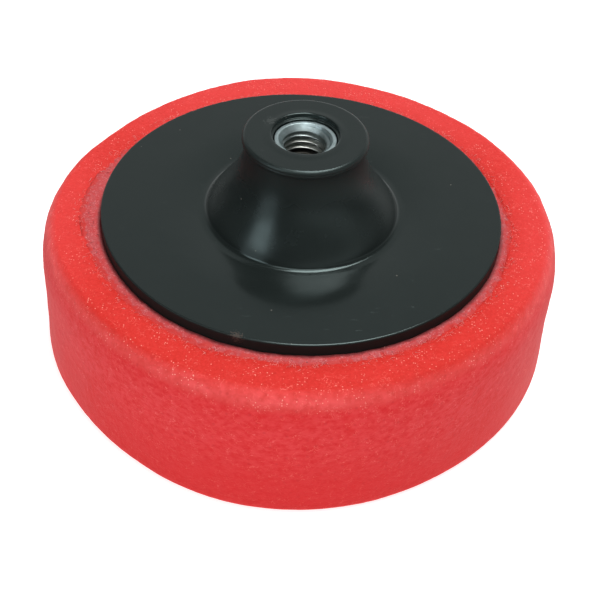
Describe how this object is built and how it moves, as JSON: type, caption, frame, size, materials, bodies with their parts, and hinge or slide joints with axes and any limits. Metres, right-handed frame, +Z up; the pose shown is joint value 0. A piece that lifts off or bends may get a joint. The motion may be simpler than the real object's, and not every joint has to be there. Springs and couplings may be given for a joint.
{
  "type": "polishing pad",
  "caption": "Thick foam polishing disc glued under a moulded backing plate with a central hub and a threaded steel spindle insert.",
  "frame": {"origin": "centre of the foam's working face, which is the lowest face", "axes": "+Z up along the spindle axis, out of the hub; X and Y are equal radial directions"},
  "size_m": [0.15, 0.15, 0.071],
  "materials": {
    "red_foam": "open-cell polyurethane foam, matt, fine grain",
    "glue": "dried pale glue with foam dust in it",
    "black_plastic": "satin moulded plastic",
    "zinc_steel": "bright zinc plate"
  },
  "bodies": {
    "root": {"foam_pad": "red_foam", "adhesive_layer": "glue", "backing_plate": "black_plastic", "spindle_insert": "zinc_steel"}
  },
  "joints": []
}
